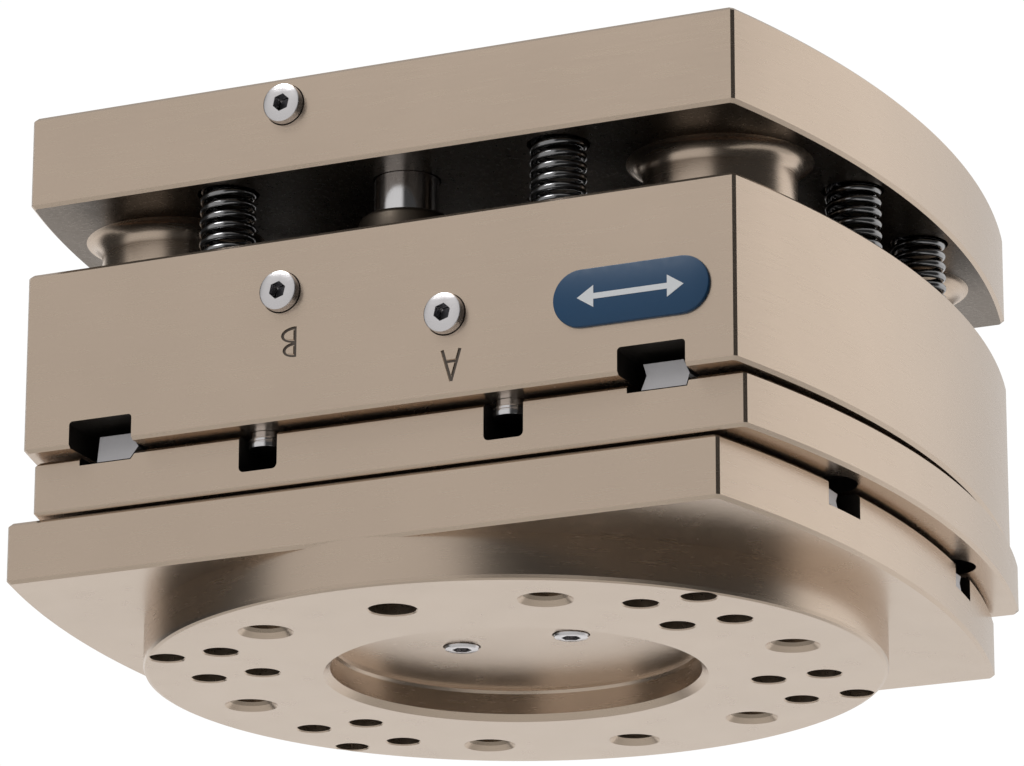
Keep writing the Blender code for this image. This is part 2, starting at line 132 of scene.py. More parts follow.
# ---------------------------------------------------------------- finishes
def shader_of(name, colour, metallic, roughness, **more):
    m = bpy.data.materials.new(name)
    m.use_nodes = True
    s = m.node_tree.nodes["Principled BSDF"]
    s.inputs["Base Color"].default_value = (*colour, 1.0)
    s.inputs["Metallic"].default_value = metallic
    s.inputs["Roughness"].default_value = roughness
    for key, value in more.items():
        s.inputs[key.replace("_", " ")].default_value = value
    return m, m.node_tree.nodes, m.node_tree.links, s


def coords(nodes, links, scale):
    place = nodes.new("ShaderNodeTexCoord")
    mapping = nodes.new("ShaderNodeMapping")
    mapping.inputs["Scale"].default_value = scale
    links.new(place.outputs["Object"], mapping.inputs["Vector"])
    return mapping.outputs["Vector"]


def noise(nodes, links, vector, scale, detail=4.0, rough=0.6):
    n = nodes.new("ShaderNodeTexNoise")
    n.inputs["Scale"].default_value = scale
    n.inputs["Detail"].default_value = detail
    n.inputs["Roughness"].default_value = rough
    links.new(vector, n.inputs["Vector"])
    return n.outputs["Fac"]


def spread(nodes, links, value, lo, hi):
    r = nodes.new("ShaderNodeMapRange")
    r.inputs["From Min"].default_value = 0.3
    r.inputs["From Max"].default_value = 0.7
    r.inputs["To Min"].default_value = lo
    r.inputs["To Max"].default_value = hi
    links.new(value, r.inputs["Value"])
    return r.outputs["Result"]


def tint(nodes, links, value, dark, light):
    r = nodes.new("ShaderNodeValToRGB")
    r.color_ramp.elements[0].position = 0.3
    r.color_ramp.elements[1].position = 0.7
    r.color_ramp.elements[0].color = (*dark, 1.0)
    r.color_ramp.elements[1].color = (*light, 1.0)
    links.new(value, r.inputs["Fac"])
    return r.outputs["Color"]


def finish(name, colour, metallic, roughness, grain=(1, 1, 1), grain_scale=900.0, bump=0.02,
           shift=0.03, rough_shift=0.05, **more):
    """A metal or plastic with long grain, a slight mottle in its colour and a fine bump."""
    m, nodes, links, s = shader_of(name, colour, metallic, roughness, **more)
    fine = noise(nodes, links, coords(nodes, links, grain), grain_scale)
    broad = noise(nodes, links, coords(nodes, links, (1, 1, 1)), 28.0, 2.0)
    dark = tuple(c * (1 - shift) for c in colour)
    light = tuple(min(1.0, c * (1 + shift)) for c in colour)
    links.new(tint(nodes, links, broad, dark, light), s.inputs["Base Color"])
    links.new(spread(nodes, links, fine, roughness - rough_shift, roughness + rough_shift),
              s.inputs["Roughness"])
    b = nodes.new("ShaderNodeBump")
    b.inputs["Strength"].default_value = bump
    b.inputs["Distance"].default_value = 0.0004
    links.new(fine, b.inputs["Height"])
    links.new(b.outputs["Normal"], s.inputs["Normal"])
    return m


ANODISED = (0.60, 0.485, 0.385)
MATS = {
    "plate": finish("anodised_plate", ANODISED, 0.96, 0.26, grain=(0.05, 0.05, 1.0), grain_scale=1700.0,
                    bump=0.012, shift=0.02, rough_shift=0.02),
    # pocket: near-black painted shade for faces inside pockets, slots and the gap
    "pocket": finish("pocket_shade", (0.035, 0.030, 0.026), 0.4, 0.5, grain_scale=900.0, bump=0.03, shift=0.1),
    # thread: darker anodised colour as painted shade inside tapped and plain holes
    "thread": finish("painted_hole_shade", (0.36, 0.29, 0.225), 0.9, 0.30),
    "collar": finish("collar_shade", (0.09, 0.072, 0.055), 0.8, 0.4),
    # inner: darker anodised colour as painted shade on the top plate's underside and inside its holes and seats
    "inner": finish("painted_gap_shade", (0.17, 0.135, 0.105), 0.95, 0.30, grain_scale=900.0, bump=0.01, shift=0.05),
    "cut": finish("anodised_cut", (0.40, 0.33, 0.26), 0.85, 0.30, grain=(1, 1, 0.2), grain_scale=1200.0, bump=0.04),
    "steel": finish("ground_steel", (0.74, 0.72, 0.73), 1.0, 0.24, grain=(0.1, 1, 1), grain_scale=1500.0, bump=0.03),
    "rail": finish("rail_steel", (0.46, 0.45, 0.46), 0.9, 0.42, grain=(1, 0.05, 1), grain_scale=1800.0, bump=0.04),
    "pin": finish("polished_pin", (0.80, 0.79, 0.80), 1.0, 0.16, grain=(1, 1, 0.3), grain_scale=1500.0, bump=0.01),
    "dark_steel": finish("dark_steel", (0.10, 0.10, 0.11), 1.0, 0.38, grain_scale=900.0, bump=0.03),
    "spring": finish("black_spring", (0.30, 0.30, 0.305), 1.0, 0.17, grain_scale=700.0, bump=0.03, shift=0.2),
    "rubber": finish("rubber", (0.018, 0.018, 0.018), 0.0, 0.65, grain_scale=800.0, bump=0.1, shift=0.2),
    "bronze": finish("bronze", (0.34, 0.20, 0.11), 1.0, 0.34, grain=(1, 1, 0.1), grain_scale=1300.0, bump=0.04),
    "lining": finish("friction_lining", (0.09, 0.07, 0.06), 0.0, 0.85, grain_scale=500.0, bump=0.3, shift=0.4),
    "navy": finish("badge_navy", (0.001, 0.052, 0.135), 0.0, 0.45, grain_scale=600.0, bump=0.01, shift=0.02),
    "white": finish("badge_white", (0.80, 0.82, 0.84), 0.0, 0.38, grain_scale=600.0, bump=0.01, shift=0.01),
    "painted_groove_shade": finish("groove_shade", (0.09, 0.07, 0.055), 0.3, 0.6, grain_scale=900.0, bump=0.05, shift=0.1),
}


# ---------------------------------------------------------------- shapes
# A shape is (points, faces) in millimetres.
def turned(i, n):
    a = 2 * math.pi * i / n
    return math.cos(a), math.sin(a)


def loft(rings):
    """A solid through rings of equal length, capped at both ends."""
    n = len(rings[0])
    points = [p for ring in rings for p in ring]
    faces = []
    for k in range(len(rings) - 1):
        for i in range(n):
            j = (i + 1) % n
            faces.append((k * n + i, k * n + j, (k + 1) * n + j, (k + 1) * n + i))
    faces.append(tuple(reversed(range(n))))
    faces.append(tuple((len(rings) - 1) * n + i for i in range(n)))
    return points, faces


def prism(outline, lo, hi, axis="z"):
    """An outline run along an axis: (x, y) along z, (x, z) along y, (y, z) along x."""
    place = {
        "z": lambda a, b, t: (a, b, t),
        "y": lambda a, b, t: (a, t, b),
        "x": lambda a, b, t: (t, a, b),
    }[axis]
    return loft([[place(a, b, t) for a, b in outline] for t in (lo, hi)])


def box(x0, x1, y0, y1, z0, z1):
    return prism([(x0, y0), (x1, y0), (x1, y1), (x0, y1)], z0, z1)


def revolve(profile, n, at=(0.0, 0.0, 0.0), axis="z", ring=False):
    """A profile of (radius, height) turned about an axis through `at`."""
    points, where = [], []
    for r, h in profile:
        if r < 1e-9:
            where.append([len(points)] * n)
            points.append((0.0, 0.0, h))
        else:
            where.append(list(range(len(points), len(points) + n)))
            points += [(r * turned(i, n)[0], r * turned(i, n)[1], h) for i in range(n)]
    faces = []
    steps = len(profile) if ring else len(profile) - 1
    for k in range(steps):
        low, high = where[k], where[(k + 1) % len(profile)]
        for i in range(n):
            j = (i + 1) % n
            face = []
            for v in (low[i], low[j], high[j], high[i]):
                if v not in face:
                    face.append(v)
            if len(face) > 2:
                faces.append(tuple(face))
    turn = {
        "z": lambda x, y, h: (x, y, h),
        "y": lambda x, y, h: (x, h, y),
    }[axis]
    moved = [turn(*p) for p in points]
    return [(x + at[0], y + at[1], z + at[2]) for x, y, z in moved], faces


def rod(r, lo, hi, at, n=16):
    return revolve([(0, lo), (r, lo), (r, hi), (0, hi)], n, (at[0], at[1], 0.0))


def together(shapes):
    points, faces = [], []
    for p, f in shapes:
        base = len(points)
        points += p
        faces += [tuple(base + v for v in face) for face in f]
    return points, faces


def mesh_of(name, shape):
    mesh = bpy.data.meshes.new(name)
    points, faces = shape
    mesh.from_pydata([(x * MM, y * MM, z * MM) for x, y, z in points], [], faces)
    b = bmesh.new()
    b.from_mesh(mesh)
    bmesh.ops.recalc_face_normals(b, faces=b.faces)
    b.to_mesh(mesh)
    b.free()
    return mesh



def plate_outline(inset=0.0, steps=64):
    """Flat front and back, bowed sides, corners broken."""
    flat, radius = FLAT_Y - inset, ARC_R - inset
    end = math.asin((flat - CORNER) / radius)
    right = []
    for i in range(steps + 1):
        a = -end + 2 * end * i / steps
        right.append((radius * math.cos(a) - ARC_X, radius * math.sin(a)))
    corner_x = right[0][0] - CORNER
    right = [(corner_x, -flat), *right, (corner_x, flat)]
    return right + [(-x, -y) for x, y in right]


def plate(z0, z1, edge=EDGE):
    return loft([
        [(x, y, z0) for x, y in plate_outline(edge)],
        [(x, y, z0 + edge) for x, y in plate_outline()],
        [(x, y, z1 - edge) for x, y in plate_outline()],
        [(x, y, z1) for x, y in plate_outline(edge)],
    ])


def rounded_slot(cx, cy, half_x, half_y, z0, z1, steps=16):
    """A slot along X with round ends."""
    pts = []
    for side in (1, -1):
        for i in range(steps + 1):
            a = -math.pi / 2 + math.pi * i / steps
            pts.append((cx + side * (half_x - half_y + half_y * math.cos(a)),
                        cy + side * half_y * math.sin(a)))
    return prism(pts, z0, z1)


def hexagon(cx, cz, flats, turn=0.0):
    r = flats / math.sqrt(3)
    return [(cx + r * math.cos(turn + i * math.pi / 3), cz + r * math.sin(turn + i * math.pi / 3))
            for i in range(6)]


def plug_hole(x, z, face=-FLAT_Y, r=PORT_R, depth=PORT_DEPTH, n=20):
    return revolve([(0, face - 1), (r, face - 1), (r, face + depth), (0, face + depth)],
                   n, (x, 0.0, z), "y")



# ---------------------------------------------------------------- pieces
def shifted(shape, body):
    x, y = BODY_AT[body]
    return [(p[0] + x + SHIFT_X, p[1] + y + SHIFT_Y, p[2]) for p in shape[0]], shape[1]


def piece(name, shape, mat, body, adds=(), cuts=(), smooth=True, sharp=28, shade=None, dark="pocket"):
    """A finished mesh in the row frame, with its additions joined and its holes cut."""
    obj = bpy.data.objects.new(name, mesh_of(name, shifted(shape, body)))
    SCENE.objects.link(obj)
    helpers = []
    for kind, groups in (("UNION", adds), ("DIFFERENCE", cuts)):
        for i, group in enumerate(groups):
            tool = bpy.data.objects.new(f"{name}_{kind}_{i}", mesh_of("tool", shifted(together(group), body)))
            SCENE.objects.link(tool)
            m = obj.modifiers.new(f"{kind}_{i}", "BOOLEAN")
            m.operation, m.solver, m.object = kind, "EXACT", tool
            helpers.append(tool)
    if helpers:
        bpy.context.view_layer.update()
        done = bpy.data.meshes.new_from_object(obj.evaluated_get(bpy.context.evaluated_depsgraph_get()))
        obj.modifiers.clear()
        obj.data = done
        for tool in helpers:
            bpy.data.objects.remove(tool, do_unlink=True)
    obj.data.name = name
    obj.data.materials.clear()
    obj.data.materials.append(MATS[mat])
    # faces that shade() picks get painted shade: index 1 the dark material, index 2 the darker hole colour
    if shade:
        obj.data.materials.append(MATS[dark])
        obj.data.materials.append(MATS["thread"])
        dx, dy = BODY_AT[body]
        for face in obj.data.polygons:
            x, y, z = face.center
            n = face.normal
            face.material_index = int(shade(x / MM - SHIFT_X - dx, y / MM - SHIFT_Y - dy, z / MM, n))
    if smooth:
        obj.data.shade_smooth()
        obj.data.set_sharp_from_angle(angle=math.radians(sharp))
    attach(obj, body)
    return obj


def threaded(crest, pitch, mouth_r, depth, at, n=64, up=1.0, z0=0.0):
    """A tapped hole: a cone at the mouth, then rings of V thread between crest and root."""
    root = crest + 0.9
    z = mouth_r - root
    profile = [(0, z0 - up), (mouth_r + 1, z0 - up), (root, z0 + up * z)]
    while z < depth - pitch:
        profile += [(crest, z0 + up * (z + pitch * 0.5)), (root, z0 + up * (z + pitch))]
        z += pitch
    profile += [(root, z0 + up * depth), (0, z0 + up * depth)]
    return revolve(profile, n, at)


def mouthed(r, depth, at, n=32, lip=0.35):
    return revolve([(0, -1), (r + lip + 1, -1), (r, lip), (r, depth), (0, depth)], n, (at[0], at[1], 0.0))


# flange plate
def flange():
    disc = revolve([(0, 0), (DISC_R - DISC_RIM, 0), (DISC_R - 0.35, 0.35), (DISC_R, DISC_RIM),
                    (DISC_R, Z_DISC + 3), (0, Z_DISC + 3)], 224)
    recess = revolve([(0, -1), (RECESS_R + RECESS_RIM + 1, -1), (RECESS_R, RECESS_RIM),
                      (RECESS_R, RECESS_DEPTH - 1.2), (RECESS_R - 0.35, RECESS_DEPTH - 0.35),
                      (RECESS_R - 1.2, RECESS_DEPTH), (0, RECESS_DEPTH)], 160)
    holes = []
    for k in range(6):
        a = k * math.pi / 3
        holes.append(threaded(TAPPED_R, 1.75, TAPPED_MOUTH_R, 20,
                              (PATTERN_R * math.cos(a), PATTERN_R * math.sin(a), 0.0)))
    holes.append(revolve([(0, -1), (8.25, -1), (5.5, 1.75), (5.5, 18), (0, 18)], 48, (0.0, PATTERN_R, 0.0)))
    holes.append(mouthed(6.25, 16, (0.0, -76.0), 48))
    for x in SMALL_X:
        for y in SMALL_Y:
            for sx in (-1, 1):
                for sy in (-1, 1):
                    holes.append(mouthed(SMALL_R - 0.2, SMALL_DEPTH, (sx * x, sy * y)))
    screw_holes = [revolve([(0, 7), (5.1, 7), (5.1, 14), (3.0, 14), (3.0, 25), (0, 25)], 32, (x, y, 0.0))
                   for x, y in SCREWS]
    top = [revolve([(0, BRAKE_Z[0] - 0.3), (BRAKE_R + 0.3, BRAKE_Z[0] - 0.3), (BRAKE_R + 0.3, 30), (0, 30)], 64)]
    for y in X_GUIDE_Y:
        top.append(box(-125, 125, y - X_POCKET_HALF, y + X_POCKET_HALF, X_POCKET_Z, 30))
    mouths = [(PATTERN_R * math.cos(k * math.pi / 3), PATTERN_R * math.sin(k * math.pi / 3)) for k in range(6)]
    small = [(sx * x, sy * y) for x in SMALL_X for y in SMALL_Y for sx in (-1, 1) for sy in (-1, 1)]

    # faces given painted shade: 2 for the walls of the holes, True for the walls of the X guide pockets
    def pocket(x, y, z, n):
        if z > 1.5 and abs(z - Z_LOWER[0]) > 0.05 and min(math.hypot(x - a, y - b) for a, b in mouths) < 6.2:
            return 2
        if 2.5 < z < 18.1 and abs(z - Z_LOWER[0]) > 0.05 and (min(math.hypot(x - a, y - b) for a, b in small) < 5.0
                                    or math.hypot(x, y - PATTERN_R) < 5.7 or math.hypot(x, y + 76.0) < 6.5):
            return 2
        return X_POCKET_Z - 0.05 < z < 28.4 and min(abs(y - c) for c in X_GUIDE_Y) < X_POCKET_HALF + 0.05 \
            and abs(n.x) < 0.5
    o = piece("flange_plate_fine", plate(*Z_LOWER), "plate", "flange", adds=[[disc]], shade=pocket, sharp=20,
              cuts=[[recess], holes, top, screw_holes])
    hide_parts("flange_plate")


def cross():
    cuts = [[rod(CROSS_EYE_R, 28, 46, (0, 0), 96)]]
    cuts.append([rounded_slot(0, y, X_SLOT_END, 8.6, 28, X_SLOT_TOP) for y in X_GUIDE_Y])
    cuts.append([prism(outline, -102, 102, "y") for outline in Y_NOTCHES])
    slots = []
    for sx in (-1, 1):
        for sy in (-1, 1):
            h, r = PIN_SLOT_HALF, 1.4
            outline = [(-h, 46)]
            outline += [(-h + r - r * math.cos(a), PIN_SLOT_Z + r - r * math.sin(a))
                        for a in (i * math.pi / 12 for i in range(7))]
            outline += [(h - r + r * math.sin(a), PIN_SLOT_Z + r - r * math.cos(a))
                        for a in (i * math.pi / 12 for i in range(7))]
            outline.append((h, 46))
            outline = [(sx * PIN_X + a, b) for a, b in outline]
            lo, hi = sorted((sy * PIN_SLOT_END, sy * 102))
            slots.append(prism(outline, lo, hi, "y"))
    cuts.append(slots)
    # faces given painted shade: the walls of the rail notches and pin slots and the undersides of the X slots
    def pocket(x, y, z, n):
        notch = abs(abs(x) - Y_GUIDE_X) < Y_POCKET_HALF + 0.05 and Y_NOTCH_Z - 0.05 < z < 44.1 and abs(y) < 99.9
        slot = abs(abs(x) - PIN_X) < PIN_SLOT_HALF + 0.05 and PIN_SLOT_Z - 0.05 < z < 43.9 and abs(y) < 99.9
        under = z < X_SLOT_TOP + 0.05 and z > 29.55 and abs(x) < X_SLOT_END + 0.1
        face_up = n.z > 0.99 and z > 43.9
        return (notch and not face_up) or (slot and not face_up) or (under and abs(y) < 60)
    o = piece("cross_plate_fine", plate(*Z_CROSS), "plate", "cross", cuts=cuts, shade=pocket)
    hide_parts("cross_plate")


# port letters: grooves 0.7 mm wide, turned half round as they are cut on the unit
def stroke(x0, z0, x1, z1, w, lo, hi):
    dx, dz = x1 - x0, z1 - z0
    k = w / 2 / math.hypot(dx, dz)
    ax, az = -dz * k, dx * k
    return prism([(x0 + ax, z0 + az), (x0 - ax, z0 - az), (x1 - ax, z1 - az), (x1 + ax, z1 + az)], lo, hi, "y")


def bow(cx, cz, rx, rz, w, lo, hi, steps=14):
    """Half an elliptical ring, open towards +X."""
    outer = [(cx - rx * math.sin(a), cz + rz * math.cos(a)) for a in (math.pi * i / steps for i in range(steps + 1))]
    inner = [(cx - (rx - w) * math.sin(a), cz + (rz - w) * math.cos(a))
             for a in (math.pi * i / steps for i in range(steps + 1))]
    return prism(outer + inner[::-1], lo, hi, "y")


def letter_strokes(lo, hi, w):
    """Port letters A and B in the housing's own frame."""
    ax, az = 22.9, 53.3
    a = [stroke(ax, az - 4.2, ax - 2.5, az + 4.2, w, lo, hi), stroke(ax, az - 4.2, ax + 2.5, az + 4.2, w, lo, hi),
         stroke(ax - 1.5, az + 1.1, ax + 1.5, az + 1.1, w, lo, hi)]
    bx, bz = -23.3, 65.3
    b = [stroke(bx + 1.9, bz - 4.1, bx + 1.9, bz + 4.1, w, lo, hi),
         bow(bx + 1.9, bz + 1.95, 4.0, 2.2, w, lo, hi), bow(bx + 1.9, bz - 2.1, 3.5, 2.0, w, lo, hi)]
    return a + b


def house():
    cylinder = revolve([(0, 44), (ROD_R + 0.3, 44), (ROD_R + 0.3, 50), (14, 50), (14, 54),
                        (ROD_R + 0.3, 54), (ROD_R + 0.3, BORE_Z[0]), (BORE_R, BORE_Z[0]),
                        (BORE_R, BORE_Z[1]), (COVER_R + 0.3, BORE_Z[1]), (COVER_R + 0.3, 95), (0, 95)], 96)
    guides = [rod(BUSH_R + 0.3, 55, 95, (sx * BOSS_X, sy * BOSS_Y), 64) for sx in (-1, 1) for sy in (-1, 1)]
    seats = [rod(SPRING_HOLE_R, SPRING_Z[0] - 0.3, 95, at, 40) for at in SPRING_AT]
    rods = [revolve([(0, 44), (11.4, 44), (11.4, 75), (GUIDE_R + 0.4, 75), (GUIDE_R + 0.4, 95), (0, 95)], 48,
                    (0, s * ROD_Y, 0)) for s in (-1, 1)]
    h, t = Y_POCKET_HALF, Y_POCKET_Z
    corner = [(h - 1 + math.cos(a), t - 1 + math.sin(a)) for a in (i * math.pi / 12 for i in range(7))]
    arch = [(-h, 44), (h, 44), *corner, *[(-a, b) for a, b in corner[::-1]]]
    under = [prism([(s * Y_GUIDE_X + a, b) for a, b in arch], -102, 102, "y") for s in (-1, 1)]
    pins = [rod(PIN_R + 0.3, 44, 56.3, (sx * PIN_X, sy * PIN_Y), 48) for sx in (-1, 1) for sy in (-1, 1)]
    ports = []
    for x, z in PORTS.values():
        face = -FLAT_Y
        ports.append(revolve([(0, face - 1), (PORT_R, face - 1), (PORT_R, face + PORT_DEPTH),
                              (1.5, face + PORT_DEPTH), (1.5, -14.0), (0, -14.0)], 40, (x, 0.0, z), "y"))
    letters = [[s] for s in letter_strokes(-FLAT_Y - 1, -FLAT_Y + 0.35, 0.9)]
    # faces given painted shade: the walls of the rail pockets and the housing's top face in the gap
    def pocket(x, y, z, n):
        rail = abs(abs(x) - Y_GUIDE_X) < Y_POCKET_HALF + 0.05 and 45.05 < z < Y_POCKET_Z + 0.1 and abs(y) < 99.9
        return rail or (z > 93.9 and n.z > 0.9)
    o = piece("housing_fine", plate(*Z_HOUSE), "plate", "housing", shade=pocket,
              cuts=[[cylinder], guides + seats, rods, under, pins, ports, *letters])
    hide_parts("housing")
    # dark sheets at the bottom of the letter grooves: painted shade in the grooves
    for i, s in enumerate(letter_strokes(-FLAT_Y + 0.24, -FLAT_Y + 0.33, 0.6)):
        shape = ([(x, y - 0.002 * i, z) for x, y, z in s[0]], s[1])
        piece(f"port_letter_shade_{i}", shape, "painted_groove_shade", "housing", smooth=False)


def top():
    under, over = Z_TOP
    bosses = []
    for sx in (-1, 1):
        for sy in (-1, 1):
            fillet = [(BOSS_R + BOSS_FILLET * (1 - math.cos(a)), under - BOSS_FILLET * (1 - math.sin(a)))
                      for a in (i * math.pi / 24 for i in range(13))]
            profile = [(0, BOSS_Z), (BOSS_R - 1, BOSS_Z), (BOSS_R, BOSS_Z + 1), *fillet,
                       (BOSS_R + BOSS_FILLET, under + 3), (0, under + 3)]
            bosses.append(revolve(profile, 72, (sx * BOSS_X, sy * BOSS_Y, 0)))
    seats = [rod(SPRING_HOLE_R, under - 1, SPRING_Z[1] + 0.3, at, 40) for at in SPRING_AT]
    seats += [rod(GUIDE_R + 0.4, under - 1, 124.3, (0, s * ROD_Y), 48) for s in (-1, 1)]
    recess = revolve([(0, over - 6), (RECESS_R - 0.8, over - 6), (RECESS_R, over - 5.2), (RECESS_R, over - 1),
                      (RECESS_R + 2, over + 1), (0, over + 1)], 160)
    tapped = []
    for k in range(6):
        a = k * math.pi / 3
        tapped.append(threaded(TAPPED_R, 1.75, TAPPED_R + 1.4, 17.9,
                               (PATTERN_R * math.cos(a), PATTERN_R * math.sin(a), 0), up=-1.0, z0=over))
    # faces given painted shade: the underside in the gap, the bosses' ends, and the walls of the seats and holes
    def pocket(x, y, z, n):
        return (n.z < -0.99 and z < under + 0.05) or (under + 1.2 < z < under + 11 and abs(y) < 98 and abs(x) < 112)
    o = piece("top_plate_fine", plate(*Z_TOP), "plate", "top", adds=[bosses], shade=pocket, dark="inner",
              cuts=[seats, [recess], tapped, [plug_hole(*TOP_PORT, n=40)]])
    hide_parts("top_plate")


def plug(name, node, x, z, body):
    face = -FLAT_Y
    profile = [(0, face - 2.5), (4.85, face - 2.5), (5.15, face - 2.35), (5.3, face - 2.0), (5.3, face + 10),
               (0, face + 10)]
    cone = revolve([(0, face + 1.6), (2.9, face - 2.55), (2.9, face - 4), (0, face - 4)], 32, (x, 0.0, z), "y")
    socket = prism(hexagon(x, z, 4.2, 0.3), face - 3.5, face + 1.5, "y")
    o = piece(name, revolve(profile, 64, (x, 0.0, z), "y"), "steel", body, cuts=[[socket]])
    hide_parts(node)
    # a dark disc inside the hex socket: painted shade at the socket's floor
    floor = revolve([(0, face + 0.9), (2.0, face + 0.9), (2.0, face + 1.3), (0, face + 1.3)], 24, (x, 0.0, z), "y")
    piece(name + "_socket_floor", floor, "dark_steel", body)


def small_fittings():
    for side, (x, y) in zip("LR", SCREWS):
        body = revolve([(0, 7.8), (4.1, 7.8), (4.5, 7.95), (4.8, 8.4), (4.8, 13.7), (2.7, 13.7), (2.7, 26.4),
                        (2.3, 26.7), (0, 26.7)], 48, (x, y, 0.0))
        socket = prism(hexagon(x, y, 4.6, 0.5), 6.0, 11.0)
        o = piece(f"recess_screw_{side}_fine", body, "steel", "flange", cuts=[[socket]])
        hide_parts(f"recess_screw_{side}")
    for name, sx, sy in (("FL", -1, -1), ("FR", 1, -1), ("BL", -1, 1), ("BR", 1, 1)):
        w = PIN_BAND_R
        pin = revolve([(0, 40.6), (w - 0.5, 40.6), (w - 0.15, 40.75), (w, 41.1), (w, 41.9), (w - 0.25, 42.05),
                       (w - 0.25, 42.25), (w, 42.4), (w, 43.0), (PIN_R, 43.4), (PIN_R, 56), (0, 56)], 72,
                      (sx * PIN_X, sy * PIN_Y, 0))
        o = piece(f"stop_pin_{name}_fine", pin, "pin", "housing")
        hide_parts(f"stop_pin_{name}")
    for side, s in (("F", -1), ("B", 1)):
        body = revolve([(0, 67.7), (9.9, 67.7), (10.7, 68.5), (10.7, 74.7), (GUIDE_R, 74.7), (GUIDE_R, 124.0),
                        (0, 124.0)], 96, (0, s * ROD_Y, 0))
        socket = prism(hexagon(0, s * ROD_Y, 8.0), 66.0, 71.7)
        o = piece(f"guide_rod_{side}_fine", body, "pin", "top", cuts=[[socket]])
        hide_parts(f"guide_rod_{side}")
        # the collar's near-black colour is painted shade
        collar = revolve([(GUIDE_R + 0.4, 94.3), (COLLAR_R, 94.3), (COLLAR_R, 100.1), (COLLAR_R - 0.4, 100.9),
                          (COLLAR_R - 1.2, 101.5), (GUIDE_R + 0.4, 101.5)], 96, (0, s * ROD_Y, 0), ring=True)
        o = piece(f"rod_collar_{side}_fine", collar, "collar", "housing")
        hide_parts(f"rod_collar_{side}")


def badge():
    w, h, cx, cz = 21.2, 7.55, 72.7, 65.95

    def pill(inset, steps=20):
        pts = []
        for side in (1, -1):
            for i in range(steps + 1):
                a = -math.pi / 2 + math.pi * i / steps
                pts.append((cx + side * (w - h + (h - inset) * math.cos(a)), cz + side * (h - inset) * math.sin(a)))
        return pts
    y0 = -FLAT_Y - 1.1
    rings = [[(x, y, z) for x, z in pill(i)] for y, i in
             ((y0, 0.35), (y0 + 0.1, 0.1), (y0 + 0.3, 0.0), (-FLAT_Y - 0.02, 0.0))]
    o = piece("badge_fine", loft(rings), "navy", "housing")
    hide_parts("name_badge")
    face = y0 - 0.08
    half, neck, head, thin, wide = 14.5, 10.0, 14.5, 0.75, 2.9
    arrow = [(cx - half, cz), (cx - neck, cz - wide), (cx - neck, cz - thin), (cx + neck, cz - thin),
             (cx + neck, cz - wide), (cx + half, cz), (cx + neck, cz + wide), (cx + neck, cz + thin),
             (cx - neck, cz + thin), (cx - neck, cz + wide)]
    piece("badge_arrow", prism(arrow, face, y0 + 0.05, "y"), "white", "housing", smooth=False)


def spring_coils():
    z0, z1 = SPRING_Z[0] + WIRE_R, SPRING_Z[1] - WIRE_R
    per_turn, sides = 28, 12
    steps = int(SPRING_TURNS * per_turn)
    rings = []
    for k in range(steps + 1):
        t = k / steps
        a = 2 * math.pi * k / per_turn
        z = z0 + (z1 - z0) * t
        ring = []
        for i in range(sides):
            c, s = turned(i, sides)
            r = SPRING_R + WIRE_R * c
            ring.append((r * math.cos(a), r * math.sin(a), z + WIRE_R * s))
        rings.append(ring)
    for i, (x, y) in enumerate(SPRING_AT):
        points, faces = loft(rings)
        points = [(p[0] + x, p[1] + y, p[2]) for p in points]
        o = piece(f"coil_{i + 1}", (points, faces), "spring", "housing", sharp=60)
        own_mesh(o)
        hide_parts(f"spring_{i + 1}")


def rollers():
    """The rollers that show in the cages' windows."""
    for side, c in zip("LR", (-75.8, 78.6)):
        for i, y in enumerate(range(-56, 57, 14)):
            shape = prism([(y + 1.25 * turned(k, 16)[0], 50.35 + 1.3 * turned(k, 16)[1]) for k in range(16)],
                          c - 3.3, c + 3.3, "x")
            piece(f"y_roller_{side}_{i + 1}", shape, "pin", "y_cages")


flange()
cross()
house()
top()
plug("port_plug_A_fine", "port_plug_A", *PORTS["A"], "housing")
plug("port_plug_B_fine", "port_plug_B", *PORTS["B"], "housing")
plug("top_plug_fine", "top_plug", *TOP_PORT, "top")
small_fittings()
badge()
spring_coils()
rollers()

KEPT = {
    "cut": ["cylinder_cover"],
    "rail": ["x_way_F", "x_way_B", "y_rail_L", "y_rail_R"],
    "dark_steel": ["brake_plate", "x_rail_F", "x_rail_B", "retaining_ring"],
    "steel": ["lock_piston"],
    "rubber": ["rod_seal", "piston_seal"],
    "bronze": ["x_cage_F", "x_cage_B", "y_cage_L", "y_cage_R", "guide_bush_FL", "guide_bush_FR", "guide_bush_BL",
               "guide_bush_BR"],
    "lining": ["brake_pad"],
}
for mat, names in KEPT.items():
    for name in names:
        obj = frame["nodes"][name]
        if not obj.material_slots:
            obj.data.materials.append(MATS[mat])
        for slot in obj.material_slots:
            slot.material = MATS[mat]

# ---------------------------------------------------------------- studio
CAM_AZ, CAM_EL, CAM_ROLL = math.radians(24.738), math.radians(-17.277), math.radians(0.156)
CAM_AT = (589.6 + SHIFT_X, -1282.8 + SHIFT_Y, -356.6)


def camera():
    ca, sa, ce, se = math.cos(CAM_AZ), math.sin(CAM_AZ), math.cos(CAM_EL), math.sin(CAM_EL)
    back = (sa * ce, -ca * ce, se)
    right = (ca, sa, 0.0)
    up = (-sa * se, ca * se, ce)
    c, s = math.cos(CAM_ROLL), math.sin(CAM_ROLL)
    r = [c * a + s * b for a, b in zip(right, up)]
    u = [-s * a + c * b for a, b in zip(right, up)]
    data = bpy.data.cameras.new("camera")
    data.sensor_width = 36.0
    data.lens = 5413.5 / 1024 * 36.0
    data.clip_start, data.clip_end = 0.01, 50.0
    cam = bpy.data.objects.new("camera", data)
    cam.matrix_world = Matrix((
        (r[0], u[0], back[0], CAM_AT[0] * MM),
        (r[1], u[1], back[1], CAM_AT[1] * MM),
        (r[2], u[2], back[2], CAM_AT[2] * MM),
        (0, 0, 0, 1)))
    SCENE.objects.link(cam)
    bpy.context.scene.camera = cam


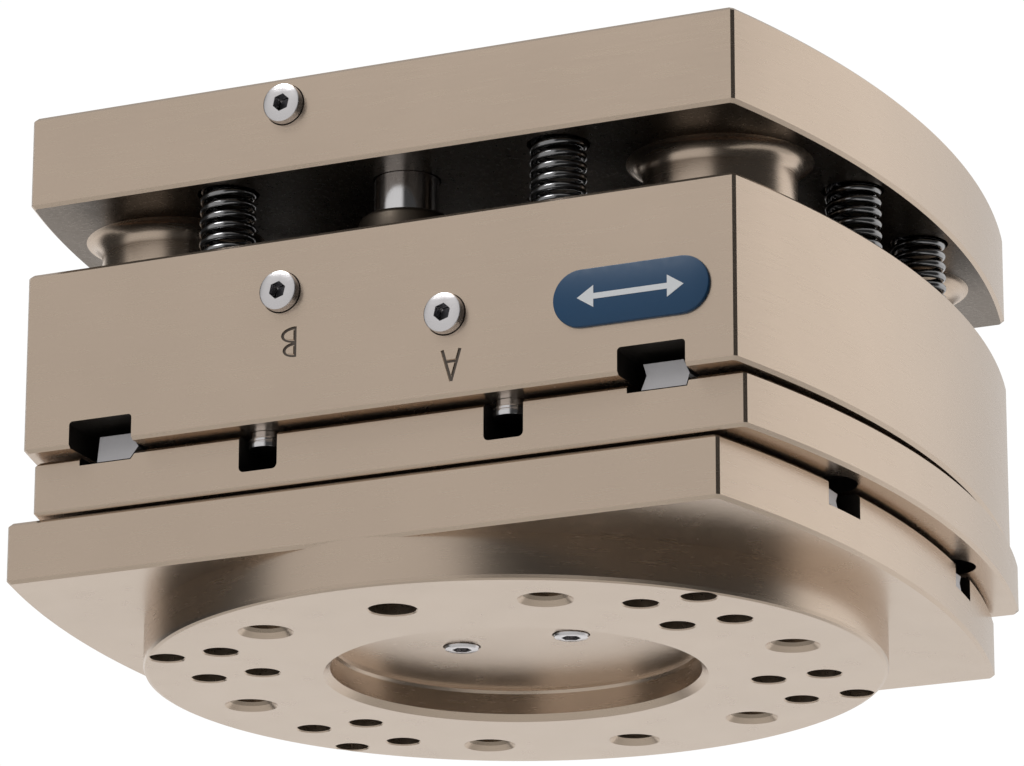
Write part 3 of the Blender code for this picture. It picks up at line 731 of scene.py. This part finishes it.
def area(name, at, size, power, colour=(1, 1, 1)):
    data = bpy.data.lights.new(name, "AREA")
    data.shape, data.size, data.size_y = "RECTANGLE", size[0], size[1]
    data.energy, data.color = power, colour
    lamp = bpy.data.objects.new(name, data)
    x, y, z = at
    n = math.sqrt(x * x + y * y + (z - 0.07) ** 2)
    back = (x / n, y / n, (z - 0.07) / n)
    side = (-back[1], back[0], 0.0)
    k = math.hypot(side[0], side[1]) or 1.0
    side = (side[0] / k, side[1] / k, 0.0)
    up = (back[1] * side[2] - back[2] * side[1], back[2] * side[0] - back[0] * side[2],
          back[0] * side[1] - back[1] * side[0])
    lamp.matrix_world = Matrix((
        (side[0], up[0], back[0], x), (side[1], up[1], back[1], y), (side[2], up[2], back[2], z), (0, 0, 0, 1)))
    SCENE.objects.link(lamp)


def world():
    w = bpy.data.worlds.new("studio")
    bpy.context.scene.world = w
    w.use_nodes = True
    nodes, links = w.node_tree.nodes, w.node_tree.links
    nodes.clear()
    place = nodes.new("ShaderNodeTexCoord")
    split = nodes.new("ShaderNodeSeparateXYZ")
    links.new(place.outputs["Generated"], split.inputs["Vector"])

    def term(socket, lo, hi, a, b):
        r = nodes.new("ShaderNodeMapRange")
        r.interpolation_type = "SMOOTHSTEP"
        r.inputs["From Min"].default_value, r.inputs["From Max"].default_value = lo, hi
        r.inputs["To Min"].default_value, r.inputs["To Max"].default_value = a, b
        links.new(socket, r.inputs["Value"])
        return r.outputs["Result"]

    def product(a, b):
        m = nodes.new("ShaderNodeMath")
        m.operation = "MULTIPLY"
        links.new(a, m.inputs[0])
        links.new(b, m.inputs[1])
        return m.outputs["Value"]
    def maths(op, a, b=None):
        m = nodes.new("ShaderNodeMath")
        m.operation = op
        for i, v in enumerate((a, b)):
            if v is None:
                continue
            if isinstance(v, (int, float)):
                m.inputs[i].default_value = v
            else:
                links.new(v, m.inputs[i])
        return m.outputs["Value"]
    # azimuth round the object from straight in front of it, positive to the right, in degrees
    ahead = maths("MULTIPLY", split.outputs["Y"], -1.0)
    turn = maths("MULTIPLY", maths("ARCTAN2", split.outputs["X"], ahead), 180.0 / math.pi)
    front = product(term(turn, -64.0, -50.0, 0.0, 1.0), term(turn, 4.0, 18.0, 1.0, 0.0))
    away = maths("ABSOLUTE", turn)
    above = term(split.outputs["Z"], -0.12, 0.12, 0.0, 1.0)
    # the back light: full at its sides and weaker straight behind, and a little weaker below the horizon
    fade = term(away, 145.0, 180.0, 1.0, 0.66)
    share = maths("ADD", product(above, fade), maths("MULTIPLY", maths("SUBTRACT", above, 1.0), -0.84))
    behind = product(term(away, 108.0, 126.0, 0.0, 1.0), share)
    level = maths("ADD", maths("MULTIPLY", front, L_FRONT), maths("MULTIPLY", behind, L_BACK))
    level = maths("ADD", level, L_DARK)
    high = term(split.outputs["Z"], 0.45, 0.8, 0.0, 1.0)
    level = maths("ADD", maths("MULTIPLY", level, term(split.outputs["Z"], 0.45, 0.8, 1.0, 0.0)),
                  maths("MULTIPLY", high, L_TOP))
    soft = nodes.new("ShaderNodeBackground")
    soft.inputs["Color"].default_value = (1.0, 0.99, 0.98, 1)
    links.new(level, soft.inputs["Strength"])
    plain = nodes.new("ShaderNodeBackground")
    plain.inputs["Color"].default_value = (1, 1, 1, 1)
    plain.inputs["Strength"].default_value = 1.02
    path = nodes.new("ShaderNodeLightPath")
    mix = nodes.new("ShaderNodeMixShader")
    links.new(path.outputs["Is Camera Ray"], mix.inputs["Fac"])
    links.new(soft.outputs["Background"], mix.inputs[1])
    links.new(plain.outputs["Background"], mix.inputs[2])
    out = nodes.new("ShaderNodeOutputWorld")
    links.new(mix.outputs["Shader"], out.inputs["Surface"])


def floor():
    side, z = 1.3, -0.80
    mesh = bpy.data.meshes.new("floor")
    n = 8
    points = [(side * (i / n - 0.5) * 2, side * (j / n - 0.5) * 2, z) for j in range(n + 1) for i in range(n + 1)]
    faces = [(j * (n + 1) + i, j * (n + 1) + i + 1, (j + 1) * (n + 1) + i + 1, (j + 1) * (n + 1) + i)
             for j in range(n) for i in range(n)]
    mesh.from_pydata(points, [], faces)
    mesh.materials.append(finish("pale_floor", (0.86, 0.86, 0.85), 0.0, 0.9, grain_scale=40.0, bump=0.01, shift=0.01))
    obj = bpy.data.objects.new("floor", mesh)
    SCENE.objects.link(obj)


L_FRONT, L_BACK, L_DARK, L_TOP = 0.60, 1.0, 0.045, 0.5
camera()
world()
floor()
area("key", (-0.7, -1.3, 1.9), (0.9, 0.9), 20)
bpy.context.scene.view_settings.view_transform = "Standard"
